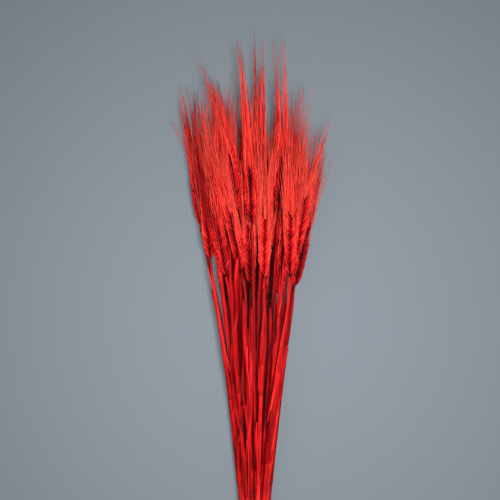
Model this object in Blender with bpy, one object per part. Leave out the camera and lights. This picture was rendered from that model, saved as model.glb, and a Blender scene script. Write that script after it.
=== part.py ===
"""A bunch of dyed, bearded wheat, gathered by a twine tie and lying on its side.

Metres, +Z up. The origin is under the tie, on the surface that the bunch lies on, and +Y runs along
the bunch towards the ears. Each stalk is one solid: its straw, its ear and its awns grew as one piece.
The stalks start from a planting plan and are then eased apart until every one lies clear of the others,
as stalks do when a bunch is laid down. Every cross-section of a stalk lies in a plane of constant Y.
"""

import math
import random

import bmesh
import bpy
import numpy as np
from mathutils import Vector

MM = 0.001

# Straw, in millimetres
BARE_STRAW_RADIUS = 1.55
SHEATHED_STRAW_RADIUS = 2.15
NECK_RADIUS = 1.15
CUT_END = -66.0
CUT_SCATTER = 14.0
SHEATH_STEP = 1.2
SECTION_SIDES = 4

# Ear, in millimetres
EAR_LENGTH = 62.0
EAR_STEPS = 10
EAR_START = 3.0
SPIKELET_OUT = 5.4
SPIKELET_IN = 2.9
EAR_HALF_DEPTH = 3.9
EAR_END_FULLNESS = 0.55

# Awns, in millimetres and degrees
AWN_RADIUS = 0.42
AWN_ROOT_RADIUS = 0.5
AWN_ROOT_RISE = 7.5
AWN_ROOT_ANGLE = 13.0
AWN_FREE_RISE = 18.0
BRUSH_RADIUS = 5.6
BRUSH_TIP_SHARE = 0.6
BRUSH_NARROWS_ABOVE_EAR = 12.0
BOW_STARTS_AT = 0.7
TOP_AWN_ROOT_RISE = 4.0
TOP_AWN_SHORTER_BY = 6.0
AWN_SLOT_ANGLES = (62.0, 52.0, 40.0, 26.0, 18.0)
BOWED_AWN_STEP = 30.0

# Tie, in millimetres
TWINE_RADIUS = 1.0
TWINE_TURNS = 5
TIE_SIDES = 20
TIE_HALF_LENGTH = 8.0
LAND_HALF_WIDTH = 0.55
GROOVE_DEPTH = 0.6
KNOT_RISE = 1.4
KNOT_RADII = (4.2, 3.6, 3.0)
TAIL_SIDES = 6

# Room kept between neighbours, and under the lowest ears before they come to rest, in millimetres
GAP = 0.5
AWN_CLEARANCE = 0.2
ROOM_BELOW_EAR = 10.0
FLOOR_GAP = 0.3
RESTING_BAND = 1.6

# How the stalks stand in the tie and bend out of it, as shares of the tie's radius and as a power
TIE_FAN_ACROSS = 0.75
TIE_FAN_UP = 0.85
MIDDLE_HEIGHT = 50.0
BEND_POWER = 1.2

# How the bunch settles: shares of each correction that one round makes, and millimetres per round
ROUNDS = 1400
SLEEVE_PUSH = 0.5
PRESSING_SHARE = 0.5
PULL_TO_PLAN = 0.06
SINK_PER_ROUND = 0.07
LEVELLING = 0.03
PUSH_APART = 0.3
EASING = 0.1
PACKED_SHARE = 0.83
PROBES_PER_STEP = 3

# The bunch's half-width along it, in millimetres, as (along, half-width)
HALF_WIDTHS = ((-66, 17), (8, 15), (50, 20), (130, 28), (210, 35), (290, 53), (370, 72), (450, 77), (530, 78))

# Stations along the bunch, in millimetres, where every straw has a section
STATION_STEP = 40.0
FIRST_STATION = 50.0
LAST_STATION = 530.0
TIE_STATIONS = (1, 2)
STATIONS = np.concatenate(
    [
        (CUT_END, -TIE_HALF_LENGTH, TIE_HALF_LENGTH),
        np.arange(FIRST_STATION, LAST_STATION + 1, STATION_STEP),
    ]
)

# Stalks seen on the upper side, one row each: the ear's foot and the furthest awn tip, each as
# (across, along), then the sideways bow of the awns at their tips, then the layer, 0 uppermost
UPPER_STALKS = (
    (-57, 316, -76, 466, 0, 1),
    (-47, 296, -68, 470, 0, 4),
    (-27, 269, -64, 436, 0, 0),
    (-10, 274, -46, 448, 0, 0),
    (-17, 333, -40, 496, -22, 1),
    (-3, 318, -10, 514, -5, 1),
    (9, 267, 11, 445, 0, 0),
    (1, 342, 4, 518, 0, 2),
    (20, 330, 33, 511, -9, 1),
    (34, 269, 39, 443, 0, 0),
    (38, 256, 72, 406, 0, 1),
    (18, 243, 22, 415, 0, 2),
    (42, 264, 70, 418, 0, 2),
    (39, 287, 64, 440, 0, 1),
    (31, 300, 50, 466, 0, 2),
    (26, 294, 34, 463, 0, 3),
    (-40, 284, -60, 454, 0, 1),
    (-34, 308, -47, 468, 0, 1),
    (-28, 302, -36, 474, 0, 3),
    (-2, 292, -3, 464, 0, 3),
)
UPPER_LAYER_HEIGHTS = (88.0, 74.0, 60.0, 46.0, 32.0)

# Stalks hidden under those: they share the fan of the bunch, with seeded draws
HIDDEN_STALKS = 18
HIDDEN_LAYER_HEIGHTS = (46.0, 32.0, 18.0)
LOWEST_FOOT = 243.0
HIGHEST_FOOT = 318.0
HIDDEN_HALF_WIDTH = 27.0
WIDENING = 0.23
RIGHT_SIDE_DROP = 1.5
FAN_SLOPE_PER_MM = 0.0036
HALF_FAN_WIDTH = 52.0
SEED = 11

# An ear lies with its two ranks left and right, give or take this turn, in radians
LYING_TURN = 0.5

# Colours, in linear red, green and blue
DEEP_RED = (0.42, 0.008, 0.010)
BRIGHT_RED = (0.64, 0.024, 0.020)
TWINE_COLOUR = (0.50, 0.36, 0.20)


def planted():
    """The planting plan: one dictionary for each stalk, in millimetres."""
    draw = random.Random(SEED)
    stalks = []
    for foot_x, foot_y, tip_x, tip_y, bow, layer in UPPER_STALKS:
        stalks.append(
            {
                "foot": (foot_x, foot_y),
                "tip": (tip_x, tip_y),
                "bow": bow,
                "height": UPPER_LAYER_HEIGHTS[layer] + draw.uniform(-4, 4),
            }
        )
    rows = len(HIDDEN_LAYER_HEIGHTS)
    columns = HIDDEN_STALKS // rows
    for i in range(HIDDEN_STALKS):
        row, column = i % rows, i // rows
        side = 2 * (column + 0.5 + draw.uniform(-0.2, 0.2)) / columns - 1
        highest = HIGHEST_FOOT - RIGHT_SIDE_DROP * max(side, 0) * HIDDEN_HALF_WIDTH
        along = draw.uniform(LOWEST_FOOT, highest)
        across = side * (HIDDEN_HALF_WIDTH + WIDENING * (along - LOWEST_FOOT))
        lean = across * FAN_SLOPE_PER_MM + draw.uniform(-0.03, 0.03)
        reach = draw.uniform(152, 172)
        stalks.append(
            {
                "foot": (across, along),
                "tip": (across + lean * reach, along + reach),
                "bow": 0,
                "height": HIDDEN_LAYER_HEIGHTS[row] + draw.uniform(-3, 3),
            }
        )
    for i, stalk in enumerate(stalks):
        stalk["sheathed"] = i % 3 == 0
        stalk["sheath_end"] = stalk["foot"][1] - draw.uniform(50, 95)
        stalk["cut"] = CUT_END + draw.uniform(0, CUT_SCATTER)
        stalk["straw_radius"] = draw.uniform(0.94, 1.06) * (
            SHEATHED_STRAW_RADIUS if stalk["sheathed"] else BARE_STRAW_RADIUS
        )
        stalk["turn"] = draw.uniform(-LYING_TURN, LYING_TURN) + math.pi * (i % 2)
        stalk["awn_draws"] = [draw.uniform(0.9, 1.0) for _ in range(EAR_STEPS)]
    return stalks


def straw_radius(stalk, y):
    """The straw's radius at y: a sheath ends below the ear, and bare straw thins evenly."""
    if stalk["sheathed"]:
        return stalk["straw_radius"] if y < stalk["sheath_end"] else NECK_RADIUS
    share = min(max(y / stalk["foot"][1], 0), 1)
    return stalk["straw_radius"] * (1 - share) + NECK_RADIUS * share


def brush_radius(stalk, y):
    """How far from the stalk's line its awns stand at y: the brush narrows above the ear."""
    narrowing = stalk["foot"][1] + EAR_LENGTH + BRUSH_NARROWS_ABOVE_EAR
    share = min(max((y - narrowing) / (stalk["tip"][1] - narrowing), 0), 1)
    return BRUSH_RADIUS * (1 - share * (1 - BRUSH_TIP_SHARE))


def room(stalk, y):
    """The radius that a stalk needs at y, its awns included."""
    if y <= stalk["foot"][1] - ROOM_BELOW_EAR:
        return straw_radius(stalk, y)
    return brush_radius(stalk, y) + AWN_RADIUS + AWN_CLEARANCE


def bow_at(stalk, y):
    """How far the awns have bent sideways at y."""
    start = stalk["foot"][1] + EAR_LENGTH * BOW_STARTS_AT
    share = max((y - start) / (stalk["tip"][1] - start), 0)
    return stalk["bow"] * share * share


def line_fit(stations):
    """The matrix that turns values at these stations into their best straight line."""
    terms = np.stack([np.ones(len(stations)), stations], axis=1)
    return terms @ np.linalg.pinv(terms)


def probes():
    """Where neighbours are kept apart: the stations and points between them.

    Returns the probes' places along Y and the matrix that gives values there from the stations' values.
    """
    steps = [np.linspace(a, b, PROBES_PER_STEP + 1)[:-1] for a, b in zip(STATIONS, STATIONS[1:])]
    ys = np.concatenate(steps + [STATIONS[-1:]])
    blend = np.stack([np.interp(ys, STATIONS, one) for one in np.eye(len(STATIONS))], axis=1)
    return ys, blend


def settled(stalks):
    """Lays the planted stalks down: (across, height) of each straight line at each station."""
    count, stations = len(stalks), len(STATIONS)
    probe_ys, blend = probes()
    needed = np.array([[room(s, y) for y in probe_ys] for s in stalks])
    bows = np.array([[bow_at(s, y) for y in probe_ys] for s in stalks])
    tie_needed = np.array([room(s, 0) for s in stalks])[:, None]
    bundle_radius = math.sqrt(((tie_needed + GAP / 2) ** 2).sum() / PACKED_SHARE)
    tie_height = bundle_radius + FLOOR_GAP + 2 * TWINE_RADIUS
    plan = np.zeros((count, stations, 2))
    ease = np.zeros((count, stations, stations))
    level = np.zeros((count, stations), bool)
    for i, s in enumerate(stalks):
        (foot_x, foot_y), (tip_x, tip_y) = s["foot"], s["tip"]
        lean = (tip_x - foot_x) / (tip_y - foot_y)
        tie_x = foot_x / HALF_FAN_WIDTH * bundle_radius * TIE_FAN_ACROSS
        tie_z = tie_height + (s["height"] / MIDDLE_HEIGHT - 1) * bundle_radius * TIE_FAN_UP
        share = np.clip((STATIONS - TIE_HALF_LENGTH) / (foot_y - TIE_HALF_LENGTH), 0, 1)
        beyond = np.maximum(STATIONS - foot_y, 0)
        plan[i, :, 0] = tie_x + (foot_x - tie_x) * share**BEND_POWER + lean * beyond
        plan[i, :, 1] = tie_z + (s["height"] - tie_z) * share**2 * (3 - 2 * share)
        straight = [k for k in range(stations) if foot_y - STATION_STEP < STATIONS[k] < tip_y + STATION_STEP]
        plan[i, straight] = line_fit(STATIONS[straight]) @ plan[i, straight]
        ease[i] = np.eye(stations)
        for k in range(TIE_STATIONS[-1] + 1, straight[0]):
            ease[i, k, k - 1 : k + 2] = EASING, 1 - 2 * EASING, EASING
        ease[i][np.ix_(straight, straight)] = line_fit(STATIONS[straight])
        level[i, straight] = True
    here = np.array([probe_ys < s["tip"][1] + STATION_STEP / 4 for s in stalks])
    wanted = needed[:, None] + needed[None] + GAP
    together = here[:, None] & here[None] & ~np.eye(count, dtype=bool)[:, :, None]
    loose = STATIONS > TIE_HALF_LENGTH + 1
    aside = np.interp(probe_ys, *zip(*HALF_WIDTHS)) - needed
    places = plan.copy()
    for number in range(ROUNDS):
        if number < ROUNDS * PRESSING_SHARE:
            places[:, loose, 0] += PULL_TO_PLAN * (plan - places)[:, loose, 0]
            places[:, loose, 1] -= SINK_PER_ROUND
            middle = (places[..., 1] * level).sum(1) / level.sum(1)
            places[..., 1] += LEVELLING * (middle[:, None] - places[..., 1]) * level
        for _ in range(2):
            at_probes = np.einsum("pk,ikc->ipc", blend, places)
            at_probes[..., 0] += bows
            apart = at_probes[:, None] - at_probes[None]
            distance = np.sqrt((apart**2).sum(-1)) + 1e-9
            push = np.where(together, np.maximum(wanted - distance, 0), 0) / distance
            moves = PUSH_APART * (apart * push[..., None]).sum(1)
            across, height = at_probes[..., 0], at_probes[..., 1]
            moves[..., 0] += SLEEVE_PUSH * (np.clip(across, -aside, aside) - across) * here
            moves[..., 1] += np.maximum(needed + FLOOR_GAP - height, 0) * here
            places += np.einsum("pk,ipc->ikc", blend, moves)
        places[:, TIE_STATIONS] = places[:, TIE_STATIONS].mean(1, keepdims=True)
        from_tie = places[:, TIE_STATIONS] - (0, tie_height)
        reach = np.sqrt((from_tie**2).sum(-1)) + 1e-9
        excess = np.maximum(reach - bundle_radius + tie_needed, 0)
        places[:, TIE_STATIONS] -= from_tie * (excess / reach)[..., None]
        places = plan + np.einsum("ikl,ilc->ikc", ease, places - plan)
    return places, bundle_radius, tie_height


def ear_fullness(share):
    """How full the ear is at this share of its length: it tapers to both ends, most at the top."""
    return EAR_END_FULLNESS + (1 - EAR_END_FULLNESS) * math.sin(math.pi * (0.12 + 0.8 * share))


class StalkLine:
    """The line that a stalk grows along, with sections square to Y."""

    def __init__(self, stalk, places):
        self.stalk = stalk
        self.places = places

    def centre(self, y):
        x = np.interp(y, STATIONS, self.places[:, 0]) + bow_at(self.stalk, y)
        return np.array((x, y, np.interp(y, STATIONS, self.places[:, 1])))

    def point(self, y, degrees, radius):
        angle = self.stalk["turn"] + math.radians(degrees)
        return self.centre(y) + np.array((math.cos(angle), 0, math.sin(angle))) * radius


def grown(bm, face, corners):
    """Extrudes one face and moves the new face's corners to these places."""
    face = bmesh.ops.extrude_discrete_faces(bm, faces=[face])["faces"][0]
    for corner, place in zip(face.verts, corners):
        corner.co = place
    return face


def awn_section(face, centre, radius):
    """The corners of a small section round centre, in step with the face that it grows from."""
    along = (centre - face.calc_center_median()).normalized()
    first = face.verts[0].co - face.calc_center_median()
    first = (first - along * first.dot(along)).normalized()
    second = along.cross(first)
    if face.normal.dot(along) < 0:
        raise ValueError("an awn can't grow back into its ear")
    angles = [2 * math.pi * j / len(face.verts) for j in range(len(face.verts))]
    return [centre + (first * math.cos(a) + second * math.sin(a)) * radius for a in angles]


def grow_awn(bm, face, sections, tip):
    """Grows an awn from a face of the ear, through (centre, radius) sections, to its point."""
    for centre, radius in sections:
        face.normal_update()
        face = grown(bm, face, awn_section(face, Vector(centre), radius))
    face = bmesh.ops.extrude_discrete_faces(bm, faces=[face])["faces"][0]
    bmesh.ops.pointmerge(bm, verts=list(face.verts), merge_co=tip)


def stalk_mesh(stalk, line):
    """One stalk as a closed mesh, in millimetres: a section extruded up the straw and the ear."""
    bm = bmesh.new()
    foot, tip = stalk["foot"][1], stalk["tip"][1]
    straw = [stalk["cut"]] + [y for y in STATIONS[1:] if y < foot - 5] + [foot]
    if stalk["sheathed"]:
        straw += [stalk["sheath_end"] - SHEATH_STEP / 2, stalk["sheath_end"] + SHEATH_STEP / 2]
    quarter = 360 / SECTION_SIDES
    radii = [(y, (straw_radius(stalk, y),) * SECTION_SIDES) for y in sorted(straw)]
    ear_ys = np.linspace(foot + EAR_START, foot + EAR_LENGTH, EAR_STEPS + 1)
    fullness = [ear_fullness(k / EAR_STEPS) for k in range(EAR_STEPS + 1)]
    for k, (y, full) in enumerate(zip(ear_ys, fullness)):
        ranks = (SPIKELET_OUT, SPIKELET_IN) if k % 2 == 0 else (SPIKELET_IN, SPIKELET_OUT)
        radii.append((y, (ranks[0] * full, EAR_HALF_DEPTH * full, ranks[1] * full, EAR_HALF_DEPTH * full)))
    sections = [[line.point(y, quarter * j, r) for j, r in enumerate(rs)] for y, rs in radii]
    face = bm.faces.new([bm.verts.new(place) for place in reversed(sections[0])])
    rings = []
    for section in sections[1:]:
        face = grown(bm, face, list(reversed(section)))
        rings.append(list(reversed(face.verts)))
    ear_rings = rings[-EAR_STEPS - 1 :]
    bm.normal_update()
    last_root = ear_ys[EAR_STEPS - 1]
    for k in range(EAR_STEPS):
        level = k // 2
        side = 0 if k % 2 == 0 else 2
        front = level % 2 == 0
        depth = 1 if front else 3
        turn = 1 if front == (side == 0) else -1
        low, high = ear_rings[k], ear_rings[k + 1]
        shoulder = bm.faces.get((low[side], low[depth], high[depth], high[side]))
        bmesh.utils.face_split(shoulder, low[side], high[depth])
        root = bm.faces.get((low[side], high[side], high[depth]))
        length = (tip - last_root) * (1 if k == EAR_STEPS - 1 else stalk["awn_draws"][k])
        awn_tip = ear_ys[k] + length
        rank = quarter * side
        slot = rank + turn * AWN_SLOT_ANGLES[level]
        root_y, free_y = ear_ys[k] + AWN_ROOT_RISE, ear_ys[k] + AWN_FREE_RISE
        ys = [free_y]
        if stalk["bow"]:
            ys += list(np.arange(free_y + BOWED_AWN_STEP, awn_tip - BOWED_AWN_STEP / 2, BOWED_AWN_STEP))
        root_point = line.point(root_y, rank + turn * AWN_ROOT_ANGLE, SPIKELET_OUT * fullness[k])
        awn = [(root_point, AWN_ROOT_RADIUS)]
        awn += [(line.point(y, slot, brush_radius(stalk, y)), AWN_RADIUS) for y in ys]
        grow_awn(bm, root, awn, line.point(awn_tip, slot, brush_radius(stalk, awn_tip)))
    top = ear_ys[-1]
    awn = [(line.centre(top + TOP_AWN_ROOT_RISE), AWN_ROOT_RADIUS)]
    awn.append((line.centre(top + AWN_FREE_RISE), AWN_RADIUS))
    if stalk["bow"]:
        ys = np.arange(top + AWN_FREE_RISE + BOWED_AWN_STEP, tip - BOWED_AWN_STEP / 2, BOWED_AWN_STEP)
        awn += [(line.centre(y), AWN_RADIUS) for y in ys]
    top_face = bm.faces.get(ear_rings[-1])
    grow_awn(bm, top_face, awn, line.centre(tip - TOP_AWN_SHORTER_BY))
    return bm


def come_to_rest(bm, stalk):
    """Lowers a stalk that hangs just over the surface until its lowest point lies on it."""
    lowest = min(v.co.z for v in bm.verts)
    if lowest > RESTING_BAND:
        return
    ramp_end = stalk["foot"][1] - 1.2 * STATION_STEP
    for vert in bm.verts:
        share = (vert.co.y - TIE_HALF_LENGTH) / (ramp_end - TIE_HALF_LENGTH)
        vert.co.z -= lowest * min(max(share, 0), 1)


def material(name, colour, roughness):
    made = bpy.data.materials.new(name)
    made.use_nodes = True
    shader = made.node_tree.nodes["Principled BSDF"]
    shader.inputs["Base Color"].default_value = (*colour, 1)
    shader.inputs["Roughness"].default_value = roughness
    shader.inputs["Metallic"].default_value = 0
    return made


def placed(name, bm, origin, parent):
    """Turns a mesh in millimetres into a named object with its own origin, in metres."""
    bmesh.ops.holes_fill(bm, edges=[edge for edge in bm.edges if edge.is_boundary])
    for vert in bm.verts:
        vert.co = (vert.co - Vector(origin)) * MM
    bmesh.ops.triangulate(bm, faces=[f for f in bm.faces if len(f.verts) > 3])
    bmesh.ops.recalc_face_normals(bm, faces=list(bm.faces))
    mesh = bpy.data.meshes.new(name)
    bm.to_mesh(mesh)
    bm.free()
    mesh.shade_smooth()
    mesh.set_sharp_from_angle(angle=math.radians(50))
    thing = bpy.data.objects.new(name, mesh)
    bpy.context.scene.collection.objects.link(thing)
    thing.location = [value * MM for value in origin]
    thing.parent = parent
    return thing


def tie_ring_mesh(bundle_radius, tie_height):
    """Twine wound round the stems: one grooved band, turned round the bundle's line."""
    flat = math.cos(math.pi / TIE_SIDES)
    inner, outer = (bundle_radius + FLOOR_GAP) / flat, tie_height / flat
    half = TWINE_TURNS * TWINE_RADIUS
    profile = [(inner, -half), (outer - GROOVE_DEPTH, -half)]
    for turn in range(TWINE_TURNS):
        middle = (2 * turn + 1) * TWINE_RADIUS - half
        profile += [(outer, middle - LAND_HALF_WIDTH), (outer, middle + LAND_HALF_WIDTH)]
        profile.append((outer - GROOVE_DEPTH, middle + TWINE_RADIUS))
    profile.append((inner, half))
    bm = bmesh.new()
    start = math.pi / TIE_SIDES
    verts = [bm.verts.new((r * math.sin(start), y, -r * math.cos(start))) for r, y in profile]
    edges = [bm.edges.new((a, b)) for a, b in zip(verts, verts[1:] + verts[:1])]
    bmesh.ops.spin(
        bm,
        geom=verts + edges,
        axis=(0, 1, 0),
        cent=(0, 0, 0),
        angle=2 * math.pi,
        steps=TIE_SIDES,
        use_merge=True,
    )
    return bm


def tail_mesh(route):
    """One loose end of twine: a small section extruded along its route."""
    bm = bmesh.new()
    ring = bmesh.ops.create_circle(bm, cap_ends=True, segments=TAIL_SIDES, radius=TWINE_RADIUS)
    face = ring["verts"][0].link_faces[0]
    points = [Vector(place) for place in route]
    for i, point in enumerate(points):
        ahead = (points[min(i + 1, len(points) - 1)] - points[max(i - 1, 0)]).normalized()
        turn = ahead.to_track_quat("Z", "Y")
        angles = [2 * math.pi * j / TAIL_SIDES for j in range(TAIL_SIDES)]
        corners = [
            point + turn @ Vector((TWINE_RADIUS * math.cos(a), TWINE_RADIUS * math.sin(a), 0))
            for a in angles
        ]
        if i == 0:
            for corner, place in zip(face.verts, corners):
                corner.co = place
        else:
            face = grown(bm, face, corners)
    return bm


def joined_to(base, extra):
    """Fuses an extra solid into the base with a Boolean union, and keeps it as a guide."""
    extra.hide_render = True
    extra.display_type = "WIRE"
    union = base.modifiers.new(extra.name, "BOOLEAN")
    union.operation = "UNION"
    union.solver = "EXACT"
    union.object = extra


def build_tie(bundle_radius, tie_height, parent):
    origin = (0, 0, tie_height)
    top = 2 * tie_height
    tie = placed("tie", raised(tie_ring_mesh(bundle_radius, tie_height), tie_height), origin, parent)
    tie.data.materials.append(material("tie", TWINE_COLOUR, 0.85))
    knot = bmesh.new()
    bmesh.ops.create_icosphere(knot, subdivisions=2, radius=1)
    bmesh.ops.scale(knot, vec=KNOT_RADII, verts=knot.verts)
    joined_to(tie, placed("knot_guide", raised(knot, top + KNOT_RISE), origin, parent))
    left = ((-1, 0, top + 2), (-5, -2, top + 3.4), (-10, -6, top + 2.6), (-14, -11, top - 0.5))
    right = ((1, 0, top + 2), (5, 2.5, top + 3.6), (9, 7, top + 2.8), (12, 13, top + 2.4))
    for name, route in (("left_tail_guide", left), ("right_tail_guide", right)):
        joined_to(tie, placed(name, tail_mesh(route), origin, parent))


def raised(bm, height):
    bmesh.ops.translate(bm, vec=(0, 0, height), verts=bm.verts)
    return bm


def main():
    for thing in list(bpy.data.objects):
        bpy.data.objects.remove(thing)
    bunch = bpy.data.objects.new("bunch", None)
    bpy.context.scene.collection.objects.link(bunch)
    stalks = planted()
    places, bundle_radius, tie_height = settled(stalks)
    for i, stalk in enumerate(stalks):
        name = f"stalk_{i + 1:02d}"
        line = StalkLine(stalk, places[i])
        bm = stalk_mesh(stalk, line)
        come_to_rest(bm, stalk)
        thing = placed(name, bm, line.centre(0), bunch)
        mix = (i * 7 % 10) / 9
        colour = [deep + (bright - deep) * mix for deep, bright in zip(DEEP_RED, BRIGHT_RED)]
        thing.data.materials.append(material(name, colour, 0.5))
    build_tie(bundle_radius, tie_height, bunch)
    print(f"bundle radius {bundle_radius:.2f} mm, tie height {tie_height:.2f} mm")


main()
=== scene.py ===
# %% [markdown]
# # A bunch of dyed bearded wheat
#
# The real thing is a hand's width of cut wheat, dyed red and dried: hollow straws, flat leaves, ears of overlapping
# husks, and on every husk a long bristle, the awn. The solid model, the frame, fixes where each stalk runs. Here every
# stalk is drawn again over its own solid, with the husks, awns and leaves that the solid only blocks in.
#
# Everything lies in the frame's own place, so nothing has to be fitted. Lengths are in millimetres while a shape is
# drawn, because straw is thought of in millimetres, and they become metres when a mesh is made.

import math

import bpy
import numpy as np
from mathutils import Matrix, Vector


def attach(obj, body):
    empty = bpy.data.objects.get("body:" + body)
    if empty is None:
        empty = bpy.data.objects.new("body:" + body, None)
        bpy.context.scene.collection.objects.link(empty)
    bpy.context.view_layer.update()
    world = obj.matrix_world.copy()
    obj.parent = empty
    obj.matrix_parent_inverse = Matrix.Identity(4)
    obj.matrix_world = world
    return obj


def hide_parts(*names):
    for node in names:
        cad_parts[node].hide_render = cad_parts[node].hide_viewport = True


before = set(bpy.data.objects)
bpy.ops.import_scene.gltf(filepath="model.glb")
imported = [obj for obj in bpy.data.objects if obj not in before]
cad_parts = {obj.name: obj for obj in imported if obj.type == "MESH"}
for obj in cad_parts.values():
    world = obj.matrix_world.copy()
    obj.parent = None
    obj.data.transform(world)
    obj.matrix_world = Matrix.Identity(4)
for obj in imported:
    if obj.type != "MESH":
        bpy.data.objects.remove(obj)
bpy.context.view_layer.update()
MM = 0.001
GROWING_SEED = 23
stalk_names = sorted(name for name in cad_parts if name.startswith("stalk_"))
print("stalks to dress:", len(stalk_names), "and the tie")

# %% [markdown]
# ## Where each stalk runs
#
# The solid stalks were drawn as four-cornered rings, one above the other. Reading the rings back gives the middle line
# of each straw, its thickness, the foot of its ear and the way the ear faces. Guessing these again from the photograph
# would let the fine model drift off the solid that carries it.

# %% Read a stalk's rings
EAR_LENGTH = 62
BOW_STARTS = 0.7
AWN_BOWS = {"stalk_05": -22, "stalk_06": -5, "stalk_09": -9}


def rings_of(node):
    """Each closed ring of four corners in a solid: its level, its middle and how far its corners reach."""
    corners = np.unique(np.round([tuple(v.co) for v in node.data.vertices], 6), axis=0) / MM
    levels, count = np.unique(np.round(corners[:, 1], 2), return_counts=True)
    rings = []
    for level in levels[count == 4]:
        four = corners[np.abs(corners[:, 1] - level) < 0.008]
        heart = four.mean(0)
        four = four[np.argsort(np.arctan2(four[:, 2] - heart[2], four[:, 0] - heart[0]))]
        pairs = sorted(((four[0], four[2]), (four[1], four[3])), key=lambda pair: math.dist(*pair))
        middle = (pairs[0][0] + pairs[0][1]) / 2
        rings.append({
            "level": level, "middle": middle, "reach": np.linalg.norm(four - middle, axis=1).max(),
            "ranks": (pairs[1][1] - pairs[1][0]) / math.dist(*pairs[1]),
        })
    return rings, corners


def read_stalk(name):
    """What the solid says about one stalk."""
    rings, corners = rings_of(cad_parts[name])
    straw = [ring for ring in rings if ring["reach"] < 2.5]
    ear = [ring for ring in rings if ring["reach"] >= 2.5][:11]
    foot, tip = straw[-1], corners[:, 1].max()
    rise = (ear[5]["middle"] - foot["middle"]) / (ear[5]["level"] - foot["level"])
    far = foot["middle"] + rise * (tip + 40 - foot["level"])
    line = np.array([ring["middle"] for ring in straw] + [far])
    up = rise / np.linalg.norm(rise)
    ranks = ear[0]["ranks"] - up * (ear[0]["ranks"] @ up)
    return {
        "name": name, "number": int(name[-2:]), "line": line, "cut": straw[0]["level"], "foot": foot["level"],
        "tip": tip, "straw_levels": np.array([ring["level"] for ring in straw]),
        "straw_reach": np.array([ring["reach"] for ring in straw]), "up": up,
        "side": ranks / np.linalg.norm(ranks), "front": np.cross(up, ranks / np.linalg.norm(ranks)),
        "bow": AWN_BOWS.get(name, 0), "rng": np.random.default_rng(GROWING_SEED + int(name[-2:])),
    }


stalks = [read_stalk(name) for name in stalk_names]
print("feet of the ears from", min(s["foot"] for s in stalks), "to", max(s["foot"] for s in stalks), "mm up")
print("longest awns end", round(max(s["tip"] for s in stalks)), "mm up")

# %% [markdown]
# A straw bends evenly between the places where it was measured. Averaging the line over a few centimetres rounds its
# corners off and hardly moves it. A few ears have awns that have dried to one side, and for them the line bows as it
# goes up.

# %% A stalk's middle line
EVEN_STEP = 4


def bow_of(stalk, y):
    """How far the drying has drawn the stalk aside at height y."""
    start = stalk["foot"] + BOW_STARTS * EAR_LENGTH
    share = np.clip((y - start) / (stalk["tip"] - start), 0, 1.15)
    return stalk["bow"] * share ** 2


def smooth_line(stalk):
    """The middle line at even steps, with its corners rounded."""
    levels = np.arange(stalk["cut"] - 3 * EVEN_STEP, stalk["tip"] + 40, EVEN_STEP)
    inner = np.clip(levels, stalk["line"][0, 1], None)
    x = np.interp(inner, stalk["line"][:, 1], stalk["line"][:, 0])
    z = np.interp(inner, stalk["line"][:, 1], stalk["line"][:, 2])
    window = np.ones(7) / 7
    for axis in (x, z):
        axis[3:-3] = np.convolve(axis, window, "valid")
    stalk["even"] = (levels, x, z)


def middle(stalk, y):
    """The stalk's middle at each height y."""
    y = np.asarray(y, float)
    levels, x, z = stalk["even"]
    return np.stack((np.interp(y, levels, x) + bow_of(stalk, y), y, np.interp(y, levels, z)), axis=-1)


for stalk in stalks:
    smooth_line(stalk)
print("middle line of the first stalk, 100 mm up:", middle(stalks[0], 100).round(1))

# %% [markdown]
# Each stalk gets a number for how deep it lies, and the deeper ones are painted darker: painted shade for the dark
# inside of the bunch, which lets the outer straws stand out before it.

# %% How deep each stalk lies
DEPTH_HEIGHT = 230
# The listed stalks get given numbers, partly their own dye and partly painted light and shade: high for the brightly
# lit awns in front, low for stalks that lie in shadow under other ears. The others get a random dye.
DYE_LIGHT_AND_SHADE_SEEN = {"stalk_01": -0.1, "stalk_03": -0.1, "stalk_04": -0.1, "stalk_05": 0.2, "stalk_06": 0.1,
             "stalk_07": 1.0, "stalk_09": -0.4, "stalk_10": 0.3, "stalk_11": -0.2, "stalk_12": -1.0, "stalk_20": -1.0}

crossing = np.array([middle(stalk, DEPTH_HEIGHT)[[0, 2]] for stalk in stalks])
from_heart = (crossing - crossing.mean(0)) / (np.ptp(crossing, axis=0) / 2)
for stalk, (_, rise), distance in zip(stalks, from_heart, np.linalg.norm(from_heart, axis=1)):
    stalk["buried"] = 1 - min(distance, 1)
    stalk["outwards"] = np.sign(rise) * np.sign(stalk["front"][2]) if abs(rise) > 0.4 else 0
    stalk["dye"] = DYE_LIGHT_AND_SHADE_SEEN.get(stalk["name"], stalk["rng"].uniform(-1, 1))
    # Painted shade: a stalk's tone is its dye number less a darkening for how deep it lies, stronger on the straw than
    # on the ear.
    stalk["tone"] = 0.34 * stalk["dye"] - 0.42 * stalk["buried"]
    stalk["stem_tone"] = 0.03 + 0.22 * stalk["dye"] - 0.62 * stalk["buried"]
print("deepest stalk:", max(stalks, key=lambda stalk: stalk["buried"])["name"])

# %% [markdown]
# ## One way to draw every blade, husk and bristle
#
# A straw is a round tube, a husk is a little boat, an awn is a needle and a leaf is a thin strap. All four are a closed
# outline that changes while it travels along a path, as the ribs of a hull do. One helper draws such a skin, and draws
# a hundred at a time, so that an ear takes a moment. Curve objects with a bevel would do for the straws, but they
# can't give a husk its keel.

# %% The skin helper
def unit(vectors):
    """The same directions, each one long."""
    return vectors / np.maximum(np.linalg.norm(vectors, axis=-1, keepdims=True), 1e-9)


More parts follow.
